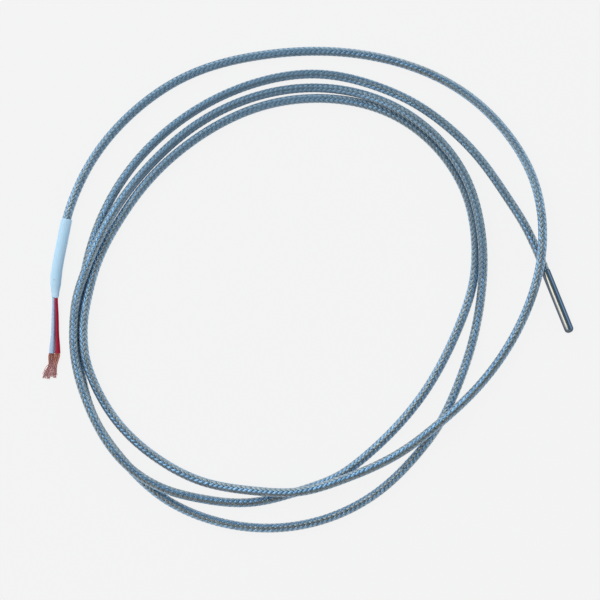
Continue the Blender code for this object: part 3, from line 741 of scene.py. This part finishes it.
def new_group(name, takes, gives):
    """An empty shader group with named inputs and outputs."""
    group = bpy.data.node_groups.new(name, "ShaderNodeTree")
    for label, kind, value in takes:
        socket = group.interface.new_socket(label, in_out="INPUT", socket_type="NodeSocket" + kind)
        socket.default_value = value
    for label, kind in gives:
        group.interface.new_socket(label, in_out="OUTPUT", socket_type="NodeSocket" + kind)
    taken = group.nodes.new("NodeGroupInput").outputs
    given = group.nodes.new("NodeGroupOutput").inputs
    return group, taken, given


def make_uneven_tone():
    """Soft patches of a second colour, as handling and light soiling leave."""
    takes = [("Colour", "Color", (0.5, 0.5, 0.5, 1.0)), ("Patch Colour", "Color", (0.4, 0.4, 0.4, 1.0)),
             ("Patch Size", "Float", 1.0), ("Amount", "Float", 0.5), ("Seed", "Float", 0.0)]
    group, taken, given = new_group("uneven_tone", takes, [("Colour", "Color")])
    place = node(group, "TexCoord").outputs["Object"]
    scale = calc(group, "DIVIDE", 1.0 / MM, taken["Patch Size"])
    noise = node(group, "TexNoise", {"Vector": place, "W": taken["Seed"], "Scale": scale, "Detail": 4.0,
                                     "Roughness": 0.6}, noise_dimensions="4D")
    patch = graded(group, noise.outputs[0], *PATCH_RANGE)
    mask = calc(group, "MULTIPLY", patch, taken["Amount"], clamp=True)
    colour = blend_colours(group, mask, taken["Colour"], taken["Patch Colour"])
    group.links.new(colour, given["Colour"])


def make_wire_rows():
    """Parallel round wires across a ribbon: their height, the grooves between and each one's tone."""
    takes = [("Across", "Float", 0.5), ("Wires", "Float", 6.0), ("Ribbon", "Float", 0.0)]
    gives = [("Height", "Float"), ("Groove", "Float"), ("Wire Tone", "Float")]
    group, taken, given = new_group("wire_rows", takes, gives)
    position = calc(group, "MULTIPLY", taken["Across"], taken["Wires"])
    row = calc(group, "FLOOR", position)
    offset = calc(group, "SUBTRACT", calc(group, "FRACT", position), 0.5)
    square = calc(group, "MULTIPLY", calc(group, "MULTIPLY", offset, offset), 4.0)
    height = calc(group, "SQRT", calc(group, "SUBTRACT", 1.0, square, clamp=True))
    groove = calc(group, "POWER", square, 3.0)
    key = calc(group, "MULTIPLY_ADD", taken["Ribbon"], RIBBON_NOISE_STEP, row)
    one_wire = node(group, "TexWhiteNoise", {"W": key}, noise_dimensions="1D").outputs["Value"]
    one_ribbon = node(group, "TexWhiteNoise", {"W": taken["Ribbon"]}, noise_dimensions="1D").outputs["Value"]
    tone = node(group, "Mix", {0: RIBBON_TONE_SHARE, 2: one_wire, 3: one_ribbon}).outputs[0]
    group.links.new(height, given["Height"])
    group.links.new(groove, given["Groove"])
    group.links.new(tone, given["Wire Tone"])


def make_drawn_lines():
    """Fine lines along a drawn or rubbed surface, from its lay: along in millimetres and round."""
    takes = [("Lines Round", "Float", 60.0), ("Length", "Float", 6.0), ("Seed", "Float", 0.0)]
    group, taken, given = new_group("drawn_lines", takes, [("Lines", "Float")])
    lay = read_lay(group)
    along = calc(group, "DIVIDE", lay[0], taken["Length"])
    angle = calc(group, "MULTIPLY", lay[1], tau)
    ring = calc(group, "DIVIDE", taken["Lines Round"], tau)
    x = calc(group, "MULTIPLY", calc(group, "COSINE", angle), ring)
    y = calc(group, "MULTIPLY", calc(group, "SINE", angle), ring)
    place = node(group, "CombineXYZ", {0: x, 1: y, 2: along}).outputs[0]
    noise = node(group, "TexNoise", {"Vector": place, "W": taken["Seed"], "Scale": 1.0, "Detail": 3.0},
                 noise_dimensions="4D")
    group.links.new(noise.outputs[0], given["Lines"])


def make_fine_grain():
    """Grain of a moulded, extruded or fired surface: its height and a roughness that follows it."""
    takes = [("Grain Size", "Float", 0.1), ("Roughness", "Float", 0.5), ("Variation", "Float", 0.1)]
    group, taken, given = new_group("fine_grain", takes, [("Height", "Float"), ("Roughness", "Float")])
    place = node(group, "TexCoord").outputs["Object"]
    scale = calc(group, "DIVIDE", 1.0 / MM, taken["Grain Size"])
    noise = node(group, "TexNoise", {"Vector": place, "Scale": scale, "Detail": 2.0})
    centred = calc(group, "SUBTRACT", noise.outputs[0], 0.5)
    rough = calc(group, "MULTIPLY_ADD", centred, taken["Variation"], taken["Roughness"])
    group.links.new(noise.outputs[0], given["Height"])
    group.links.new(rough, given["Roughness"])


def new_material(name, **inputs):
    """A material with one Principled shader, whose even values are set on its own sockets."""
    material = bpy.data.materials.new(name)
    material.use_nodes = True
    tree = material.node_tree
    shader = tree.nodes["Principled BSDF"]
    for key, value in inputs.items():
        shader.inputs[key.replace("_", " ")].default_value = value
    return material, tree, shader


def place_group(tree, effect, **inputs):
    """Put a shared effect into a material, with this material's own values."""
    named = {key.replace("_", " "): value for key, value in inputs.items()}
    return node(tree, "Group", named, node_tree=bpy.data.node_groups[effect]).outputs


def finish_surface(tree, shader, colour, rough, height, distance, strength):
    """Give a material its colour, its roughness and the relief of a height."""
    bump = node(tree, "Bump", {"Height": height, "Distance": distance, "Strength": strength})
    tree.links.new(colour, shader.inputs["Base Color"])
    tree.links.new(rough, shader.inputs["Roughness"])
    tree.links.new(bump.outputs[0], shader.inputs["Normal"])


def make_braid_steel(name, bright, dull, deep):
    """Fine steel wires side by side in a ribbon, with painted shade where they dive under and between them.
    """
    material, tree, shader = new_material(name, Metallic=1.0, Anisotropic=BRAID_SHEEN_STRETCH,
                                          Anisotropic_Rotation=0.25)
    along = node(tree, "Tangent", direction_type="UV_MAP", uv_map="lay").outputs[0]
    tree.links.new(along, shader.inputs["Tangent"])
    across = read_lay(tree)[1]
    ribbon = node(tree, "Attribute", attribute_name="tone").outputs["Fac"]
    crest = node(tree, "Attribute", attribute_name="crest").outputs["Fac"]
    wires = place_group(tree, "wire_rows", Across=across, Wires=WIRES_A_CARRIER, Ribbon=ribbon)
    wire_colour = blend_colours(tree, wires["Wire Tone"], dull, bright)
    soiled = place_group(tree, "uneven_tone", Colour=wire_colour, Patch_Colour=dull, Patch_Size=14.0,
                         Amount=0.5)
    # Painted shade where a ribbon dives under the other and in the grooves between wires
    dive = graded(tree, crest, *DIVE_SHADE_RANGE, most=DIVE_SHADE_SHARE)
    dark = calc(tree, "MAXIMUM", dive, calc(tree, "MULTIPLY", wires["Groove"], GROOVE_SHADE_SHARE))
    colour = blend_colours(tree, dark, soiled["Colour"], deep)
    flat_share = 0.0
    # Mix towards a flatter colour, with more roughness, round each listed middle
    for middle, dullest, end, share, flat_colour in DULL_STRETCHES:
        fade = graded(tree, distance_to(tree, middle), end, dullest, most=share)
        colour = blend_colours(tree, fade, colour, flat_colour)
        flat_share = calc(tree, "MAXIMUM", flat_share, fade)
    # Painted highlight towards the braid's outline
    rim = graded(tree, turned_away(tree), *BRAID_RIM_HIGHLIGHT_RANGE, most=BRAID_RIM_HIGHLIGHT_SHARE)
    colour = blend_colours(tree, rim, colour, BRAID_RIM_HIGHLIGHT)
    grain = place_group(tree, "fine_grain", Grain_Size=0.6, Roughness=BRAID_ROUGHNESS, Variation=0.2)
    rough = calc(tree, "MULTIPLY_ADD", flat_share, FLAT_ROUGHNESS, grain["Roughness"])
    finish_surface(tree, shader, colour, rough, wires["Height"], distance=0.04 * MM, strength=0.35)
    return material


def make_polished_steel():
    """The sheath: bright drawn steel, faint lines along it, handling haze, painted reflection and shade."""
    material, tree, shader = new_material("polished_sheath_steel", Metallic=1.0)
    tone = place_group(tree, "uneven_tone", Colour=SHEATH_STEEL, Patch_Colour=SHEATH_HAZE,
                       Patch_Size=5.0, Amount=0.6)
    lay = read_lay(tree)
    # Painted dark-blue reflection down the right side and, less, over the closed end
    reflection_side = graded(tree, side_of(tree, lay[1]), *REFLECTION_SIDE_RANGE)
    reflection_end = graded(tree, lay[0], *REFLECTION_END_RANGE, most=REFLECTION_END_SHARE)
    painted_reflection = calc(tree, "MAXIMUM", reflection_side, reflection_end)
    steel = blend_colours(tree, painted_reflection, tone["Colour"], SHEATH_REFLECTION_BLUE)
    # Painted shade at the sheath's outline
    edge_shade = graded(tree, turned_away(tree), *SHEATH_EDGE_SHADE_RANGE)
    colour = blend_colours(tree, edge_shade, steel, SHEATH_EDGE_SHADE)
    lines = place_group(tree, "drawn_lines", Lines_Round=150.0, Length=9.0)["Lines"]
    rough = graded(tree, lines, 0.0, 1.0, *SHEATH_ROUGHNESS)
    finish_surface(tree, shader, colour, rough, lines, distance=0.004 * MM, strength=0.6)
    return material


def make_shrink_tube():
    """Pale satin shrink tube that shows the braid's weave faintly through, with one small mark."""
    material, tree, shader = new_material("recovered_shrink_tube", IOR=1.5)
    tone = place_group(tree, "uneven_tone", Colour=SLEEVE_COLOUR, Patch_Colour=SLEEVE_PATCHES,
                       Patch_Size=6.0, Amount=0.7)
    near = graded(tree, distance_to(tree, SLEEVE_MARK), SLEEVE_MARK_SIZE, 0.0, most=SLEEVE_MARK_SHARE)
    colour = blend_colours(tree, near, tone["Colour"], SLEEVE_MARK_COLOUR)
    grain = place_group(tree, "fine_grain", Grain_Size=0.25, Roughness=0.42, Variation=0.16)
    lay = read_lay(tree)
    turns = calc(tree, "MULTIPLY", lay[1], tau * CARRIERS_EACH_WAY)
    rise = calc(tree, "MULTIPLY", lay[0], tau * CARRIERS_EACH_WAY * MM / BRAID_LAY)
    right = calc(tree, "SINE", calc(tree, "ADD", turns, rise))
    left = calc(tree, "SINE", calc(tree, "SUBTRACT", turns, rise))
    weave = calc(tree, "MAXIMUM", right, left)
    shown = calc(tree, "MULTIPLY", weave, graded(tree, lay[0], *WEAVE_END_RANGE))
    height = calc(tree, "MULTIPLY_ADD", shown, WEAVE_SHARE, grain["Height"])
    finish_surface(tree, shader, colour, grain["Roughness"], height, distance=0.02 * MM, strength=0.3)
    return material


def make_insulation(name, colour, patch, seed, inner_side):
    """Soft extruded lead insulation with faint lines along it and light soiling.

    The side where the two leads touch gets painted shade: inner_side is 1 or -1 for the way it faces.
    """
    material, tree, shader = new_material(name, IOR=1.45, Specular_IOR_Level=0.3)
    tone = place_group(tree, "uneven_tone", Colour=colour, Patch_Colour=patch, Patch_Size=2.5,
                       Amount=0.6, Seed=seed)
    # Painted shade on the side where the leads touch
    inwards = calc(tree, "MULTIPLY", side_of(tree, read_lay(tree)[1]), inner_side)
    crease_shade = graded(tree, inwards, *LEAD_CREASE_SHADE_RANGE, most=LEAD_CREASE_SHADE_SHARE)
    crease_shaded = blend_colours(tree, crease_shade, tone["Colour"], LEAD_CREASE_SHADE)
    rough = place_group(tree, "fine_grain", Grain_Size=0.2, Roughness=0.45, Variation=0.2)["Roughness"]
    lines = place_group(tree, "drawn_lines", Lines_Round=40.0, Length=5.0, Seed=seed)["Lines"]
    finish_surface(tree, shader, crease_shaded, rough, lines, distance=0.02 * MM, strength=0.5)
    return material


def make_copper():
    """Bare copper strands: brown at the root and paler and pinkish towards the splayed ends."""
    material, tree, shader = new_material("bare_copper", Metallic=1.0)
    strand = node(tree, "Attribute", attribute_name="tone").outputs["Fac"]
    outwards = graded(tree, read_lay(tree)[0], *COPPER_PALES_RANGE, most=COPPER_PALES_SHARE)
    paler = calc(tree, "MULTIPLY_ADD", strand, STRAND_TONE_SHARE, outwards, clamp=True)
    mixed = blend_colours(tree, paler, COPPER_ROOT, COPPER_END)
    tone = place_group(tree, "uneven_tone", Colour=mixed, Patch_Colour=COPPER_DARK, Patch_Size=1.2,
                       Amount=0.6)
    lines = place_group(tree, "drawn_lines", Lines_Round=14.0, Length=1.5)["Lines"]
    rough = graded(tree, lines, 0.0, 1.0, *COPPER_ROUGHNESS)
    finish_surface(tree, shader, tone["Colour"], rough, lines, distance=0.008 * MM, strength=0.5)
    return material


def make_plain_stock(name, colour, patch, metallic, roughness, grain_size):
    """A finish for the core and the pieces inside the sheath: two close tones and a grain."""
    material, tree, shader = new_material(name, Metallic=metallic)
    tone = place_group(tree, "uneven_tone", Colour=colour, Patch_Colour=patch,
                       Patch_Size=grain_size * GRAINS_A_PATCH, Amount=0.6)
    grain = place_group(tree, "fine_grain", Grain_Size=grain_size, Roughness=roughness,
                        Variation=0.15)
    finish_surface(tree, shader, tone["Colour"], grain["Roughness"], grain["Height"],
                   distance=0.02 * MM, strength=0.4)
    return material


def finish_hidden_pieces():
    """Give every solid that stays as it is a finish of its own."""
    for name, pieces in HIDDEN_PIECES.items():
        stock = make_plain_stock(name, *HIDDEN_STOCKS[name])
        for piece in pieces:
            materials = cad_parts[piece].data.materials
            materials.clear()
            materials.append(stock)


def add_camera():
    """Straight above the photograph's middle, turned with the layout, with a long lens."""
    camera = add_object("camera", bpy.data.cameras.new("camera"))
    camera.data.lens = LENS
    distance = VIEW_WIDTH * LENS / camera.data.sensor_width
    x, y, _ = lay_out([(*VIEW_MIDDLE, 0.0)])[0]
    camera.location = (x, y, CABLE_RADIUS + distance)
    camera.rotation_euler = (0.0, 0.0, radians(SHEATH_BEARING))
    bpy.context.scene.camera = camera


def add_softbox(name, bearing, from_overhead, width, length, radiance, colour):
    """A large soft lamp that faces the middle of the view."""
    light = bpy.data.lights.new(name, "AREA")
    light.shape = "RECTANGLE"
    light.size = width
    light.size_y = length
    light.energy = radiance * pi * width * length
    light.color = colour
    lamp = add_object(name, light)
    middle = Vector(lay_out([(*VIEW_MIDDLE, 0.0)])[0])
    reach = SOFTBOX_DISTANCE * sin(radians(from_overhead)) / MM
    right, up = reach * cos(radians(bearing)), reach * sin(radians(bearing))
    height = SOFTBOX_DISTANCE * cos(radians(from_overhead)) / MM
    place = Vector(lay_out([(VIEW_MIDDLE[0] + right, VIEW_MIDDLE[1] + up, height)])[0])
    lamp.location = place
    lamp.rotation_euler = (middle - place).to_track_quat("-Z", "Y").to_euler()


def background_share(tree):
    """1 for rays that see the background directly, in a reflection or through glass."""
    path = node(tree, "LightPath").outputs
    seen = calc(tree, "MAXIMUM", path["Is Camera Ray"], path["Is Glossy Ray"])
    return calc(tree, "MAXIMUM", seen, path["Is Transmission Ray"])


def add_floor():
    """A wide pale floor that keeps only a faint share of the shadow."""
    mesh = bpy.data.meshes.new("floor")
    rim = [(FLOOR_RADIUS * x, FLOOR_RADIUS * y, FLOOR_DROP) for x, y in circle(FLOOR_SIDES)]
    mesh.from_pydata(rim, [], [range(FLOOR_SIDES)])
    material = bpy.data.materials.new("pale_floor")
    material.use_nodes = True
    tree = material.node_tree
    tree.nodes.clear()
    diffuse = node(tree, "BsdfDiffuse", {"Color": BACKGROUND})
    glow = node(tree, "Emission", {"Color": FLOOR_GLOW, "Strength": 1.0})
    share = calc(tree, "MULTIPLY", background_share(tree), 1.0 - SHADOW_SHARE)
    mixer = node(tree, "MixShader", {0: share, 1: diffuse.outputs[0], 2: glow.outputs[0]})
    node(tree, "OutputMaterial", {"Surface": mixer.outputs[0]})
    mesh.materials.append(material)
    add_object("floor", mesh)


def light_the_room():
    """Pale where the camera sees it, with soft light that is stronger near the horizon."""
    world = bpy.data.worlds.new("studio")
    bpy.context.scene.world = world
    world.use_nodes = True
    tree = world.node_tree
    tree.nodes.clear()
    direction = node(tree, "TexCoord").outputs["Generated"]
    height = node(tree, "SeparateXYZ", {0: direction}).outputs[2]
    ramp = node(tree, "ValToRGB", {0: height})
    ramp.color_ramp.elements[0].color = (*HORIZON_LIGHT, 1.0)
    ramp.color_ramp.elements[1].color = (*ZENITH_LIGHT, 1.0)
    foot = Vector(unit(lay_out([(0.0, -1.0, 0.0)])[0]))
    footward = node(tree, "VectorMath", {0: direction, 1: foot}, operation="DOT_PRODUCT").outputs["Value"]
    around = blend_colours(tree, graded(tree, footward, *FOOT_RANGE), ramp.outputs[0], FOOT_LIGHT)
    seen = node(tree, "LightPath").outputs["Is Camera Ray"]
    colour = blend_colours(tree, seen, around, BACKGROUND)
    back = node(tree, "Background", {"Color": colour, "Strength": 1.0})
    node(tree, "OutputWorld", {"Surface": back.outputs[0]})


def declare(piece, slot, *nodes):
    """Let a piece ride on the probe, in place of its plain solids, which are hidden."""
    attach(piece, "root")
    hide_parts(*nodes)


def main():
    bpy.context.scene.view_settings.view_transform = "Standard"
    add_camera()
    for make_effect in (make_uneven_tone, make_wire_rows, make_drawn_lines, make_fine_grain):
        make_effect()
    white = make_insulation("white_lead_insulation", WHITE_LEAD, WHITE_LEAD_SOILED, 1.0, -1.0)
    red = make_insulation("red_lead_insulation", RED_LEAD, RED_LEAD_SOILED, 5.0, 1.0)
    copper = make_copper()
    jacket = make_plain_stock("dark_core_jacket", *CORE_JACKET)

    cable = cable_line()
    core, core_path = build_core(cable, jacket)
    braid = build_braid(cable, make_braid_steel("right_hand_wires", *RIGHT_HAND_STEEL),
                        make_braid_steel("left_hand_wires", *LEFT_HAND_STEEL))
    sleeve = build_sleeve(make_shrink_tube())
    for piece in [core, *braid]:
        declare(piece, "braid", "cable")
    declare(sleeve, "shrink_sleeve", "shrink_sleeve")

    leads = {"white": (1, WHITE_ROUTE, WHITE_FAN, WHITE_STRAYS, white),
             "red": (-1, RED_ROUTE, RED_FAN, RED_STRAYS, red)}
    for colour, (side, route, fan, strays, insulation) in leads.items():
        line = lead_line(side, route)
        lead = build_lead(f"{colour}_lead_insulation", line, insulation)
        declare(lead, f"{colour}_insulation", f"lead_{colour}")
        strands = build_copper(f"{colour}_lead_copper", route, fan, strays, STRAND_SEED + side, copper)
        numbers = range(1, SOLID_STRANDS + 1)
        declare(strands, "copper", *[f"strand_{colour}_{number}" for number in numbers])

    declare(build_sheath(make_polished_steel()), "steel", "sheath")
    finish_hidden_pieces()
    add_floor()
    light_the_room()
    for softbox in SOFTBOXES:
        add_softbox(*softbox)


main()
